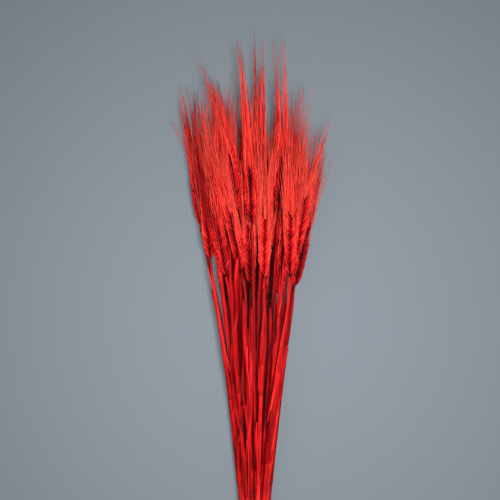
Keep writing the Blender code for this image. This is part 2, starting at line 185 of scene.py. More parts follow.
def skin(path, facing, outline, along=None):
    """Stretches closed outlines along paths. path is (pieces, steps, 3), and outline is (pieces, steps, corners, 2):
    each corner's place across the path and out from it, where out is the way the skin faces."""
    if along is None:
        along = np.gradient(path, axis=1)
    along = unit(along)
    out = unit(facing - along * np.sum(facing * along, axis=-1, keepdims=True))
    across = np.cross(along, out)
    points = path[:, :, None] + outline[..., :1] * across[:, :, None] + outline[..., 1:] * out[:, :, None]
    pieces, steps, corners = points.shape[:3]
    first = np.arange(pieces)[:, None, None] * steps * corners
    step = np.arange(steps - 1)[None, :, None] * corners
    corner = np.arange(corners)[None, None, :]
    following = (corner + 1) % corners
    quads = np.stack([first + step + corner, first + step + corners + corner,
                      first + step + corners + following, first + step + following], axis=-1).reshape(-1, 4)
    length = np.concatenate([np.zeros((pieces, 1)),
                             np.cumsum(np.linalg.norm(np.diff(path, axis=1), axis=-1), axis=1)], axis=1)
    low, high = length[:, :-1, None], length[:, 1:, None]
    round_by, shape = corner / corners, (pieces, steps - 1, corners)
    grain = np.stack([np.stack(np.broadcast_arrays(u, v, np.empty(shape))[:2], axis=-1) for u, v in (
        (round_by, low), (round_by, high), (round_by + 1 / corners, high), (round_by + 1 / corners, low))],
        axis=-2).reshape(-1, 4, 2)
    start = np.arange(pieces)[:, None] * steps * corners + np.arange(corners)
    ends = np.concatenate([start, (start + (steps - 1) * corners)[:, ::-1]])
    return {"points": points.reshape(-1, 3), "quads": quads, "ends": ends, "grain": grain}


def round_outline(radius, corners):
    """A circle of this radius at every step; radius is (pieces, steps)."""
    turn = np.arange(corners) * 2 * math.pi / corners
    # The corners go round so that the faces look outwards.
    return radius[..., None, None] * np.stack([np.cos(turn), np.sin(turn)], axis=-1)


# %% [markdown]
# The skins of one stalk are gathered first and become one mesh at the end. Each face keeps which finish it has, and
# each point keeps a tone from 0, dark, to 1, bright: no two husks take the dye alike, and the tone also carries painted
# shade and painted highlight. A UV map holds the grain: around the straw one way and along it in millimetres the other
# way, so that fibres can follow every piece of it.

# %% Gather skins into one mesh
class Growth:
    """The skins of one stalk, until they become one mesh."""

    def __init__(self):
        self.points, self.faces, self.grain, self.finish, self.tone = [], [], [], [], []
        self.count = 0

    def add(self, part, finish, tone):
        size = len(part["points"])
        self.points.append(part["points"])
        self.tone.append(np.broadcast_to(np.asarray(tone, float), (size,)))
        for kind, grain in (("quads", part["grain"]), ("ends", np.zeros(part["ends"].shape + (2,)))):
            faces = part[kind] + self.count
            self.faces.extend(faces.tolist())
            self.grain.append(grain.reshape(-1, 2))
            self.finish.append(np.full(len(faces), finish))
        self.count += size

    def mesh(self, name, finishes):
        mesh = bpy.data.meshes.new(name)
        mesh.from_pydata((np.concatenate(self.points) * MM).tolist(), [], self.faces)
        mesh.uv_layers.new(name="grain").data.foreach_set("uv", np.concatenate(self.grain).astype(np.float32).ravel())
        mesh.attributes.new("tone", "FLOAT", "POINT").data.foreach_set(
            "value", np.concatenate(self.tone).astype(np.float32))
        for finish in finishes:
            mesh.materials.append(finish)
        mesh.polygons.foreach_set("material_index", np.concatenate(self.finish).astype(np.int32))
        mesh.polygons.foreach_set("use_smooth", np.ones(len(mesh.polygons), bool))
        mesh.update()
        return mesh


STRAW, HUSK, AWN, LEAF = 0, 1, 2, 3
print("finishes on a stalk: straw, husk, awn and leaf")

# %% [markdown]
# ## The dye
#
# The bunch is one red, but dried plants take dye unevenly. Straw has a satin skin with fine fibres running along it.
# Husks are papery, ribbed, and paler at their edges. Awns get a brighter, more orange red: partly their own colour and
# partly painted light for the light that comes through such thin bristles. One recipe makes all three: a colour ramp
# from dark to bright, read by the point's tone, by fibres drawn out along the grain, and by soft blotches where the dye
# pooled. The ramp is the quickest way to keep all the mixtures inside the reds of the photo.

# %% A recipe for dyed straw
FINE_FIBRES = 4.5


def stretched_noise(nodes, links, grain, round_by, detail):
    """Noise drawn out along the grain, with this many fibres round the piece."""
    stretch = nodes.new("ShaderNodeMapping")
    stretch.inputs["Scale"].default_value = (round_by, 0.05, 1)
    noise = nodes.new("ShaderNodeTexNoise")
    noise.inputs["Scale"].default_value = 1
    noise.inputs["Detail"].default_value = detail
    links.new(grain.outputs["UV"], stretch.inputs["Vector"])
    links.new(stretch.outputs["Vector"], noise.inputs["Vector"])
    return noise


def dyed(name, reds, roughness, fibres, tone_share, ridge, gloss):
    """A dyed plant finish. reds go from dark to bright, and fibres is how many run round a stem."""
    finish = bpy.data.materials.new(name)
    finish.use_nodes = True
    nodes, links = finish.node_tree.nodes, finish.node_tree.links
    shader = nodes["Principled BSDF"]
    shader.inputs["Specular IOR Level"].default_value = gloss
    grain = nodes.new("ShaderNodeUVMap")
    grain.uv_map = "grain"
    broad = stretched_noise(nodes, links, grain, fibres, 4)
    fine = stretched_noise(nodes, links, grain, fibres * FINE_FIBRES, 2)
    fibre = nodes.new("ShaderNodeMix")
    fibre.inputs["Factor"].default_value = 0.42
    links.new(broad.outputs["Fac"], fibre.inputs["A"])
    links.new(fine.outputs["Fac"], fibre.inputs["B"])
    place = nodes.new("ShaderNodeTexCoord")
    pool = nodes.new("ShaderNodeTexNoise")
    pool.inputs["Scale"].default_value = 55
    pool.inputs["Detail"].default_value = 3
    # The point's tone brings the dye's unevenness and the painted shade and highlight into the colour.
    tone = nodes.new("ShaderNodeAttribute")
    tone.attribute_name = "tone"
    links.new(place.outputs["Object"], pool.inputs["Vector"])
    streak = nodes.new("ShaderNodeMapRange")
    streak.inputs["From Min"].default_value = 0.34
    streak.inputs["From Max"].default_value = 0.66
    links.new(fibre.outputs["Result"], streak.inputs["Value"])
    strength = nodes.new("ShaderNodeMix")
    strength.inputs["Factor"].default_value = tone_share
    uneven = nodes.new("ShaderNodeMix")
    uneven.inputs["Factor"].default_value = 0.25
    links.new(streak.outputs["Result"], uneven.inputs["A"])
    links.new(pool.outputs["Fac"], uneven.inputs["B"])
    links.new(uneven.outputs["Result"], strength.inputs["A"])
    links.new(tone.outputs["Fac"], strength.inputs["B"])
    ramp = nodes.new("ShaderNodeValToRGB")
    places = np.linspace(0.25, 0.8, len(reds))
    for _ in range(len(reds) - 2):
        ramp.color_ramp.elements.new(0.5)
    for element, place_on_ramp, red in zip(ramp.color_ramp.elements, places, reds):
        element.position = place_on_ramp
        element.color = (*red, 1)
    links.new(strength.outputs["Result"], ramp.inputs["Fac"])
    links.new(ramp.outputs["Color"], shader.inputs["Base Color"])
    worn = nodes.new("ShaderNodeMapRange")
    worn.inputs["To Min"].default_value = roughness - 0.12
    worn.inputs["To Max"].default_value = roughness + 0.12
    links.new(fibre.outputs["Result"], worn.inputs["Value"])
    links.new(worn.outputs["Result"], shader.inputs["Roughness"])
    raised = nodes.new("ShaderNodeBump")
    raised.inputs["Strength"].default_value = ridge
    raised.inputs["Distance"].default_value = 0.3 * MM
    links.new(fine.outputs["Fac"], raised.inputs["Height"])
    links.new(raised.outputs["Normal"], shader.inputs["Normal"])
    return finish


straw_finish = dyed("straw skin", ((0.04, 0.0003, 0.0008), (0.28, 0.002, 0.004), (0.60, 0.008, 0.009), (0.86, 0.032, 0.025)),
                    roughness=0.5, fibres=6, tone_share=0.6, ridge=0.35, gloss=0.08)
husk_finish = dyed("papery husk", ((0.03, 0.0003, 0.0008), (0.24, 0.001, 0.003), (0.54, 0.008, 0.009), (0.74, 0.042, 0.030)),
                   roughness=0.6, fibres=5, tone_share=0.78, ridge=0.4, gloss=0.08)
# The awn ramp is brighter and more orange than the others: partly the awns' own colour, partly painted light that comes
# through the thin bristles.
awn_finish = dyed("awn bristle", ((0.18, 0.001, 0.002), (0.64, 0.007, 0.009), (0.86, 0.030, 0.025), (0.88, 0.076, 0.052)),
                  roughness=0.55, fibres=2, tone_share=0.85, ridge=0.1, gloss=0.08)
leaf_finish = dyed("dried leaf", ((0.04, 0.0003, 0.0008), (0.26, 0.002, 0.003), (0.54, 0.007, 0.008), (0.84, 0.030, 0.023)),
                   roughness=0.6, fibres=9, tone_share=0.55, ridge=0.45, gloss=0.06)
finishes = (straw_finish, husk_finish, awn_finish, leaf_finish)
print("dyed finishes:", [finish.name for finish in finishes])

# %% [markdown]
# ## Straw
#
# A wheat straw is hollow. It was cut square at the bottom, swells to a knot where each leaf grows from it, and thins to
# a neck under the ear. The skin therefore starts inside the hollow, comes down to the cut, turns over the rim and goes
# all the way up. A plain tube with a closed end would look like a rod.

# %% Draw a straw
STRAW_CORNERS = 10
HOLLOW_DEPTH = 9


def grow_straw(growth, stalk):
    """The hollow straw from its cut end to the foot of the ear, with its knots."""
    rng = stalk["rng"]
    levels = np.concatenate([np.arange(stalk["cut"], stalk["foot"] - 4, 7.0), [stalk["foot"]]])
    radius = np.interp(levels, stalk["straw_levels"], stalk["straw_reach"])
    stalk["knots"] = [rng.uniform(20, 120), rng.uniform(-48, -20)]
    for knot in stalk["knots"]:
        levels = np.sort(np.concatenate([levels, knot + np.array((-2.6, -1.2, 0, 1.2, 2.6))]))
    radius = np.interp(levels, stalk["straw_levels"], stalk["straw_reach"])
    for knot in stalk["knots"]:
        radius = radius * (1 + 0.16 * np.exp(-((levels - knot) / 1.6) ** 2))
    centre = middle(stalk, levels)
    along = np.gradient(centre, axis=0)
    inside = middle(stalk, [stalk["cut"] + HOLLOW_DEPTH, stalk["cut"]])
    path = np.concatenate([inside, centre])[None]
    radii = np.concatenate([[radius[0] * 0.62, radius[0] * 0.68], radius])[None]
    heading = np.concatenate([along[:1], along[:1], along])[None]
    part = skin(path, np.array((0.0, 0, 1)), round_outline(radii, STRAW_CORNERS), heading)
    # The straw takes its stalk's dye and painted depth shade. The first two rings, inside the hollow, are set to the
    # darkest tone as painted shade.
    tone = 0.46 + stalk["stem_tone"] + 0.02 * rng.standard_normal(path.shape[1]).cumsum()
    tone[:2] = 0
    growth.add(part, STRAW, np.repeat(np.clip(tone, 0, 1), STRAW_CORNERS))


# %% [markdown]
# ## Sheath and leaf
#
# Each leaf of wheat starts as a sheath, rolled once round the straw from a knot upwards with one edge over the other,
# and then folds out into a flat blade. In a dried bunch the blades have dropped and lie down over the straws like
# ribbons. Both are thin strips with a curl: tight for the sheath and nearly flat for the blade, so one outline makes
# both. A plane with a thickness modifier would also do, but it would have to be bent round the straw by hand.

# %% The outline of a rolled or flat strip
STRIP_POINTS = 9
LEAF_THICKNESS = 0.24


def strip_outline(width, curl, lift):
    """A thin arc of this width and curl, whose middle stands this far out from the path; arrays (pieces, steps)."""
    turn = np.linspace(-0.5, 0.5, STRIP_POINTS) * (width / curl)[..., None]
    inner = curl[..., None] * (1 + 0.05 * turn / math.pi)
    centre = (lift - curl)[..., None]
    layers = []
    for radius, flip in ((inner + LEAF_THICKNESS, -1), (inner, 1)):
        layers.append(np.stack([radius * np.sin(turn), centre + radius * np.cos(turn)], axis=-1)[..., ::flip, :])
    return np.concatenate(layers, axis=-2)


# %% Roll a sheath round each straw
SHEATH_LAP = 1.12


def grow_sheath(growth, stalk):
    """The rolled sheath from the lower leaf's knot to where its blade came off."""
    rng = stalk["rng"]
    drop = np.diff(stalk["straw_reach"])
    if drop.min() < -0.7:
        top = stalk["straw_levels"][drop.argmin()]
    else:
        top = stalk["knots"][0] + rng.uniform(60, 120)
    top = min(top, stalk["foot"] - 25)
    levels = np.linspace(stalk["knots"][0] + 1.0, top, max(6, int((top - stalk["knots"][0]) / 8)))
    share = np.linspace(0, 1, len(levels))
    radius = np.interp(levels, stalk["straw_levels"], stalk["straw_reach"])
    radius = radius * np.interp(share, (0, 0.04, 0.93, 1), (0.97, 1.04, 1.0, 1.1))
    width = 2 * math.pi * radius * SHEATH_LAP * np.where(share > 0.97, 0.8, 1)
    seam = rng.uniform(0, 2 * math.pi)
    facing = np.array((math.cos(seam), 0, math.sin(seam)))
    part = skin(middle(stalk, levels)[None], facing, strip_outline(width, radius, radius)[None])
    tone = 0.40 + stalk["stem_tone"] + 0.15 * share + rng.normal(0, 0.05, len(levels))
    growth.add(part, LEAF, np.repeat(np.clip(tone, 0, 1), 2 * STRIP_POINTS))
    stalk["sheath_top"] = top


# %% [markdown]
# The upper leaf stands up from the top of its sheath and stays close to the straw in a bunch this tight. Its blade
# starts nearly closed round the straw, opens, and narrows to a point. These blades fill the bunch: without them one
# could look right through it, which a real bunch never allows.

# %% Stand the upper leaves up
UPPER_LEAF_STEPS = 18
BARE_STALKS = ("stalk_01", "stalk_02", "stalk_10", "stalk_14")


def grow_upper_leaf(growth, stalk):
    """The blade that stands up along the stalk, on the side away from the heart of the bunch."""
    if stalk["name"] in BARE_STALKS:
        return
    rng = stalk["rng"]
    low = min(stalk["sheath_top"] - 8, rng.uniform(130, 185))
    high = stalk["foot"] + rng.uniform(-28, 14)
    levels = np.linspace(low, high, UPPER_LEAF_STEPS)
    t = np.linspace(0, 1, UPPER_LEAF_STEPS)
    width = rng.uniform(3.6, 6.6) * np.interp(t, (0, 0.1, 0.35, 0.75, 1), (0.7, 0.85, 1, 0.75, 0.12))
    outwards = 0.5 * math.pi if middle(stalk, DEPTH_HEIGHT)[2] > crossing[:, 1].mean() else -0.5 * math.pi
    turn = outwards + rng.normal(0, 0.5) + rng.normal(0, 0.3) * t
    facing = np.stack([np.cos(turn), np.zeros_like(turn), np.sin(turn)], axis=1)
    radius = np.interp(levels, stalk["straw_levels"], stalk["straw_reach"])
    curl = np.interp(t, (0, 0.3, 1), (1.9, 1, 1)) * np.where(t > 0.2, rng.uniform(2.2, 4.5), 1)
    lift = radius + 0.4 + 0.9 * np.sin(math.pi * t) * rng.uniform(0.2, 1)
    path = middle(stalk, levels)
    path[:, 0] += rng.normal(0, 1.2) * t
    part = skin(path[None], facing[None], strip_outline(width, curl, lift)[None])
    tone = 0.40 + stalk["stem_tone"] + 0.15 * t + 0.1 * np.sin(rng.uniform(0, 6) + 4 * t)
    growth.add(part, LEAF, np.repeat(np.clip(tone, 0, 1), 2 * STRIP_POINTS))


# %% [markdown]
# A dropped blade rests on whatever straws lie under it. Its height is found from the straws themselves: at each point
# of the blade, the highest straw within its width carries it, and where it crosses a gap it hangs straight from one
# straw to the next. The blades that the photograph shows are listed by their place, each hangs from the straw nearest
# to it, and the far side of the bunch gets some of its own.

# %% List the dropped leaves
# One row each: place and height where the leaf turns down, where its tip lies, width, tilt in degrees, tone.
FRONT_LEAVES = (
    (-17, 285, -20, 212, 6.4, 8, 0.55), (-3, 197, -7, 99, 5.6, -10, 0.62), (25, 258, 21, 186, 4.4, 14, 0.6),
    (10, 256, 8, 182, 5.0, -14, 0.5), (-12, 138, -16, 102, 5.0, 12, 0.3), (17, 150, 14, 82, 4.0, -18, 0.4),
    (-23, 200, -21, 128, 4.0, 22, 0.42), (2, 120, 3, 60, 3.8, 10, 0.6), (-18, 118, -15, 56, 4.0, 25, 0.5),
    (15, 236, 13, 170, 4.2, -20, 0.3), (20, 262, 18, 190, 5.6, 6, 0.25),
)
BACK_LEAVES = (
    (-14, 236, -17, 150, 6.2, 6, 0.5), (2, 205, 5, 112, 5.6, -12, 0.6), (20, 228, 17, 140, 5.0, 14, 0.5),
    (-22, 188, -17, 96, 4.8, -10, 0.4), (13, 160, 9, 74, 4.6, 16, 0.65),
)
SHREDS = 40
leaves_on = {name: [] for name in stalk_names}


def carried_heights(x, y, half_width, side):
    """How far out a blade is carried at each of its points, on the side that faces up, 1, or down, -1."""
    best = np.full(len(x), -np.inf)
    for stalk in stalks:
        place = middle(stalk, y)
        radius = np.where(y < stalk["foot"], np.interp(y, stalk["straw_levels"], stalk["straw_reach"]), 5)
        gap = np.maximum(np.abs(place[:, 0] - x) - half_width * 0.7, 0)
        under = (gap < radius) & (y < stalk["foot"] + EAR_LENGTH)
        height = side * place[:, 2] + np.sqrt(np.maximum(radius ** 2 - gap ** 2, 0))
        best = np.where(under, np.maximum(best, height), best)
    carried = np.isfinite(best)
    return np.interp(np.arange(len(x)), np.flatnonzero(carried), best[carried])


def hang_leaf(row, side):
    """Gives a blade to the straw nearest to its fold; side is 1 for a blade on top and -1 for one below."""
    x, y, _, _, width = row[:5]
    first = y - np.arange(0, 24, 4.0)
    fold_height = carried_heights(np.full(len(first), x), first, width / 2, side).max()
    candidates = [stalk for stalk in stalks if y < stalk["foot"] - 4]
    nearest = min(candidates, key=lambda stalk: math.dist(middle(stalk, y)[[0, 2]], (x, side * fold_height)))
    leaves_on[nearest["name"]].append((row, side))


for side, rows in ((1, FRONT_LEAVES), (-1, BACK_LEAVES)):
    for row in rows:
        hang_leaf(row, side)
# Narrow torn blades, which the photograph shows as thin bright lines that cross the straws at a slant. The bunch is
# narrower lower down, so a blade leans towards its middle as it hangs.
shred_rng = np.random.default_rng(GROWING_SEED)
for number in range(SHREDS):
    stalk = stalks[shred_rng.integers(len(stalks))]
    low = shred_rng.uniform(20, 200)
    high = min(low + shred_rng.uniform(50, 110), stalk["foot"] - 8)
    low_x = middle(stalk, low)[0] * shred_rng.uniform(0.8, 1.0) + shred_rng.uniform(-3, 3)
    hang_leaf((middle(stalk, high)[0], high, low_x, low, shred_rng.uniform(1.0, 2.4), shred_rng.uniform(-40, 40),
               shred_rng.uniform(0.3, 1.0)), 1 if number % 2 == 0 else -1)
print("dropped leaves:", len(FRONT_LEAVES), "in front,", len(BACK_LEAVES), "behind and", SHREDS, "shreds")


# %% Lay the dropped leaves over the straws
def grow_blade(growth, stalk, row, side):
    """One dropped blade, from its fold down to its torn tip."""
    x0, y0, x1, y1, width, tilt, tone = row
    rng = np.random.default_rng(int(y0 * 7) + side + 1)
    count = max(12, int((y0 - y1) / 4))
    t = np.linspace(0, 1, count)
    x = x0 + (x1 - x0) * t + 0.6 * np.sin(math.pi * 2 * t + rng.uniform(0, 6))
    y = y0 + (y1 - y0) * t
    blade_width = width * np.interp(t, (0, 0.12, 0.35, 0.8, 0.95, 1), (0.45, 0.7, 1, 0.9, 0.6, 0.2))
    rest = carried_heights(x, y, blade_width / 2, side)
    # A blade is stiff: it spans from one high place to the next and bends gently.
    rest = np.array([rest[max(0, k - 4):k + 5].max() for k in range(count)])
    rest = np.convolve(np.pad(rest, 4, "edge"), np.hanning(11)[1:-1] / np.hanning(11).sum(), "valid") + 0.4
    # The deeper its own straw lies, the lower the blade leaves it.
    root = middle(stalk, y0 - 3 - max(rest[0] - side * middle(stalk, y0)[2] - 3, 0))
    fold = np.array([[root[0], root[1], side * root[2] + 0.8], [(root[0] + x0) / 2, y0 + 1.5, rest[0] - 0.4],
                     [x0, y0 + 2.2, rest[0] + 0.7]])
    path = np.concatenate([fold, np.stack([x, y - 1.0, rest + 0.8 * np.exp(-t * 12)], axis=1)])
    path[:, 2] = np.maximum(path[:, 2] * side, 0.4)
    blade_width = np.concatenate([[width * 0.3, width * 0.35, width * 0.4], blade_width])
    lean = np.radians(tilt + 20 * np.sin(np.linspace(0, 6, len(path))))
    facing = np.stack([np.sin(lean), np.full(len(path), 0.0), side * np.cos(lean)], axis=1)
    facing[:3] = ((0, -0.6 * side, 0.8 * side), (0, 0.9, 0.4 * side), (0, 0.5, 0.9 * side))
    curl = rng.uniform(2.4, 3.6) * (1 + 0.35 * np.sin(np.linspace(0, rng.uniform(5, 9), len(path))))
    part = skin(path[None], facing[None], strip_outline(blade_width, curl, np.zeros(len(path)))[None])
    tones = tone + 0.14 * np.sin(np.linspace(rng.uniform(0, 3), 7, len(path)))
    growth.add(part, LEAF, np.repeat(np.clip(tones, 0, 1), 2 * STRIP_POINTS))


# %% [markdown]
# ## Ear
#
# A wheat ear is a zigzag stem with a spikelet at each turn, left and right by turns. A spikelet is a small fan: two
# outer husks low down, and three longer husks between them. Seen from the front the fans overlap into the plait that
# everyone knows as wheat. Each husk is a boat with a keel, drawn with five curves of one shape, and the whole ear's
# husks are drawn in one go. Copying one modelled spikelet would be quicker to think of, but every fan would be alike.

# %% Draw an ear
SPIKELETS = 24
FIRST_SPIKELET, LAST_SPIKELET = 1.0, 53.5
HUSK_STEPS, HUSK_CORNERS = 7, 6
# Each husk of a spikelet: how far before the ear's middle it lies, start above the spikelet's own, length, spread to
# its side, half its width, half its depth.
HUSKS = ((-2.7, 0.0, 8.6, 5.1, 2.05, 1.3), (2.7, 0.0, 8.6, 5.1, 2.05, 1.3), (-1.5, 1.4, 10.4, 6.1, 1.9, 1.4),
         (1.5, 1.4, 10.4, 6.1, 1.9, 1.4), (0.0, 3.0, 9.0, 6.6, 1.5, 1.2))
AWNED_HUSKS = (2, 3, 4)


def ear_shape(share):
    """How full the ear is from its foot, 0, to its top, 1."""
    return np.interp(share, (0, 0.12, 0.35, 0.7, 1), (0.68, 0.88, 1, 0.96, 0.7))


def offset(stalk, y, side, front):
    """The place at height y, this far to the ear's side and to its front."""
    return middle(stalk, y) + np.asarray(side)[..., None] * stalk["side"] + np.asarray(front)[..., None] * stalk["front"]


def husk_outline(width, depth):
    """A boat's section: round below, with a low keel on its back."""
    turn = np.arange(HUSK_CORNERS) * 2 * math.pi / HUSK_CORNERS - math.pi / 6
    keel = np.where(np.isclose(np.sin(turn), 1), 1.25, 1.0)
    across, out = np.cos(turn), np.sin(turn) * keel
    return np.stack([width[..., None] * across, depth[..., None] * out], axis=-1)


def grow_ear(growth, stalk):
    """All the husks of one ear. Returns where the awned ones end and which way they point."""
    rng = stalk["rng"]
    rows = []
    for number in range(SPIKELETS):
        share = number / (SPIKELETS - 1)
        base = stalk["foot"] + FIRST_SPIKELET + share * (LAST_SPIKELET - FIRST_SPIKELET)
        rank = 1 if number % 2 == 0 else -1
        for kind, (before, rise, length, spread, width, depth) in enumerate(HUSKS):
            size = ear_shape(share) * rng.uniform(0.93, 1.07)
            rows.append((base + rise + rng.normal(0, 0.25), rank, before * size, rise, length * (0.6 + 0.4 * size),
                         spread * size * rng.uniform(0.92, 1.08), width * size, depth * size, kind, share))
    base, rank, before, rise, length, spread, width, depth, kind, share = np.array(rows).T
    t = np.linspace(0, 1, HUSK_STEPS)
    y = base[:, None] + length[:, None] * t
    side = rank[:, None] * (-0.3 + (spread[:, None] + 0.3) * (0.45 * t + 0.55 * np.sin(0.5 * math.pi * t)))
    front = before[:, None] * (0.5 + 0.5 * np.sin(0.5 * math.pi * np.minimum(1, 1.8 * t)))
    keel_way = np.arctan2(before * 0.8, rank * np.where(kind == 4, 1, 0.9))
    facing = np.cos(keel_way)[:, None, None] * stalk["side"] + np.sin(keel_way)[:, None, None] * stalk["front"]
    full = np.clip(np.sin(math.pi * (0.04 + 0.93 * t) ** 0.9), 0, 1) ** 0.7
    part = skin(offset(stalk, y, side, front), facing, husk_outline(width[:, None] * full, depth[:, None] * full))
    # Each husk takes its stalk's dye and painted depth shade, and a random tone of its own.
    tone = 0.6 * stalk["tone"] + 0.2 + 0.68 * t + rng.normal(0, 0.08, len(rows))[:, None]
    # Painted shade and highlight: a husk is darkest at its base, in the crevice between the husks, palest towards its
    # tip, and darker on its inner side than on the keel that stands out.
    round_by = np.sin(np.arange(HUSK_CORNERS) * 2 * math.pi / HUSK_CORNERS - math.pi / 6)
    growth.add(part, HUSK, np.clip(tone[..., None] * (0.7 + 0.3 * round_by), 0, 1).ravel())
    awned = np.isin(kind, AWNED_HUSKS)
    return {"y": y[awned, -1], "angle": np.arctan2(front[awned, -1], side[awned, -1]),
            "away": np.hypot(front[awned, -1], side[awned, -1]), "kind": kind[awned], "share": share[awned]}


# %% [markdown]
# ## Awns
#
# The awns are what makes it bearded wheat. Each is a stiff needle, most of a millimetre thick where it leaves its husk
# and a hair at its tip. They lean out a little, straighten, and end at different heights, because each starts at its
# own husk. Hair curves would be the obvious tool, but hair doesn't travel with an exported part, so every awn is a
# three-cornered skin of its own.
#
# Most ears let their awns fan out freely. In the few that stand above the rest they cling together in thin tresses.

# %% Keep the awns inside the bunch
EDGE_ROOM = 9
EDGE_SOFTNESS = 9
STRAY_SHARE = 0.06
edge_levels = np.arange(-80, 560, 10.0)
edge_places = np.array([middle(stalk, edge_levels)[:, 0] for stalk in stalks])
left_edge, right_edge = edge_places.min(0) - EDGE_ROOM, edge_places.max(0) + EDGE_ROOM


def hold_in(path, rng):
    """Draws awns that stray past the side of the bunch back to it, all but a few, and keeps them off the ground."""
    x, y = path[..., 0], path[..., 1]
    stray = rng.random(len(path))[:, None] < STRAY_SHARE
    for edge, way in ((left_edge, -1), (right_edge, 1)):
        past = np.maximum(way * (x - np.interp(y, edge_levels, edge)) + EDGE_SOFTNESS, 0)
        x = x - way * np.where(stray, 0.3, 1) * (past - EDGE_SOFTNESS * np.tanh(past / (1.5 * EDGE_SOFTNESS)))
    path[..., 0] = x
    path[..., 2] = np.maximum(path[..., 2], 0.5)
    return path


print("bunch at 400 mm up:", round(np.interp(400, edge_levels, left_edge)), "to", round(np.interp(400, edge_levels, right_edge)))

# %% Draw the awns of an ear
AWN_STEPS, AWN_CORNERS = 10, 3
AWN_THICK, AWN_FINE = 0.50, 0.17
TOP_AWNS = 12
TRESSES = 4
WIDE_FAN, TRESS_FAN = 13.0, 6.5
TRESS_SHARE = 0.32
TRESS_TONES, LOOSE_TONE = np.array((0.15, 0.1, -0.1, -0.4)), -0.1
STREAKS = 5
# A few lone awns stand away from the rest at either side: how far out, and how long they are.
LONE = slice(24, 27)
LONE_AWNS = {"stalk_01": (-19, 72), "stalk_11": (7, 98)}
OUTER_SHARE, OUTER_LIFT = 0.85, 3.5
TALL_STALKS = ("stalk_05", "stalk_06", "stalk_08", "stalk_09")
MIDDLE_AWN_SHARE = 0.5
OVER, TALL_OVER = (3.0, 8.5), (7.0, 10.5)


def round_places(angle, away):
    """Places across the stalk, side and front, from their angle and their distance from the middle."""
    return np.stack([np.cos(angle), np.sin(angle)], axis=-1) * np.asarray(away)[..., None]


def grow_awns(growth, stalk, husks):
    """One awn on each awned husk, on the middle husk only half the time, and a few from the top of the ear."""
    rng = stalk["rng"]
    kept = (husks["kind"] < 4) | (rng.random(len(husks["y"])) < MIDDLE_AWN_SHARE)
    y = np.concatenate([husks["y"][kept], stalk["foot"] + LAST_SPIKELET + rng.uniform(1, 9, TOP_AWNS)])
    angle = np.concatenate([husks["angle"][kept], rng.uniform(0, 2 * math.pi, TOP_AWNS)])
    away = np.concatenate([husks["away"][kept], rng.uniform(0.3, 2.5, TOP_AWNS)])
    share = np.concatenate([husks["share"][kept], np.ones(TOP_AWNS)])
    count = len(y)
    root = round_places(angle, away)
    reach = stalk["tip"] - (stalk["foot"] + EAR_LENGTH)
    length = reach * np.interp(share, (0, 0.3, 1), (0.82, 0.97, 1.0))
    drift = angle + rng.normal(0, 0.75, count)
    end = round_places(drift, WIDE_FAN * np.sqrt(rng.random(count)))
    # Awns that dried together share their shade, so the fan is streaked.
    streak = rng.normal(0, 0.26, STREAKS)[(drift * STREAKS / (2 * math.pi)).astype(int) % STREAKS]
    tone = 0.78 + rng.normal(0, 0.19, count)
    outer = rng.random(count) < OUTER_SHARE
    if stalk["outwards"]:
        end[:, 1] = np.where(outer, stalk["outwards"] * (np.abs(end[:, 1]) + OUTER_LIFT), end[:, 1])
    late = 0.4 * root + 0.6 * end + rng.normal(0, 0.6, (count, 2))
    if stalk["name"] in TALL_STALKS:
        clinging = rng.random(count) < TRESS_SHARE
        tress = round_places(rng.uniform(0, 2 * math.pi, TRESSES), TRESS_FAN * np.sqrt(rng.uniform(0.2, 1, TRESSES)))
        near = -np.linalg.norm(root[:, None] - tress[None], axis=-1) + rng.gumbel(0, 1.6, (count, TRESSES))
        end = np.where(clinging[:, None], tress[near.argmax(1)] + rng.normal(0, 0.6, (count, 2)), 0.6 * end)
        late = 0.3 * root + 0.7 * end
        tone = tone + np.where(clinging, TRESS_TONES[near.argmax(1)], LOOSE_TONE)
        length = length * np.where(clinging, rng.uniform(0.72, 1.0, count), rng.uniform(0.4, 0.7, count))
    else:
        # Loose awns take a random streak, and their stalk's dye and painted depth shade.
        tone = tone + streak + 0.9 * stalk["tone"]
        length = length * (0.5 + 0.5 * rng.random(count) ** 2.2)
    if stalk["name"] in LONE_AWNS:
        length[LONE] = LONE_AWNS[stalk["name"]][1]
    length = np.minimum(length, stalk["tip"] - y)
    # The awns of the front and back husks come out over the ear, and some of them cross it.
    crossing_to, over = (-0.7, TALL_OVER) if stalk["name"] in TALL_STALKS else (0.1, OVER)
    over_ear = np.where(share < 1, np.sign(root[:, 1]) * rng.uniform(*over, count), 1.5 * root[:, 1])
    lean = np.stack([root[:, 0] * rng.uniform(crossing_to, 1.15, count), over_ear], axis=1)
    t = np.linspace(0, 1, AWN_STEPS)
    weights = np.stack([(1 - t) ** 3, 3 * t * (1 - t) ** 2, 3 * t ** 2 * (1 - t), t ** 3])
    aside = np.einsum("kt,kca->cta", weights, np.stack([root, lean, late, end]))
    path = hold_in(offset(stalk, y[:, None] + length[:, None] * t, aside[..., 0], aside[..., 1]), rng)
    path[LONE, :, 0] += LONE_AWNS.get(stalk["name"], (0, 0))[0] * t ** 1.5
    radius = (AWN_THICK + (AWN_FINE - AWN_THICK) * t)[None] * rng.uniform(0.8, 1.15, count)[:, None]
    part = skin(path, stalk["front"], round_outline(radius, AWN_CORNERS))
    growth.add(part, AWN, np.repeat(np.clip(tone[:, None] + 0.15 * t - 0.05, 0, 1).ravel(), AWN_CORNERS))


# %% [markdown]
# ## Put the stalks together
#
# Each stalk becomes one mesh that stands for its own solid and is fixed to the bunch. Its dye number, which holds its
# own dye and, for the listed stalks, painted light and shade, makes it a little darker or brighter than its neighbours,
# which is what lets the eye follow one straw through the bunch.

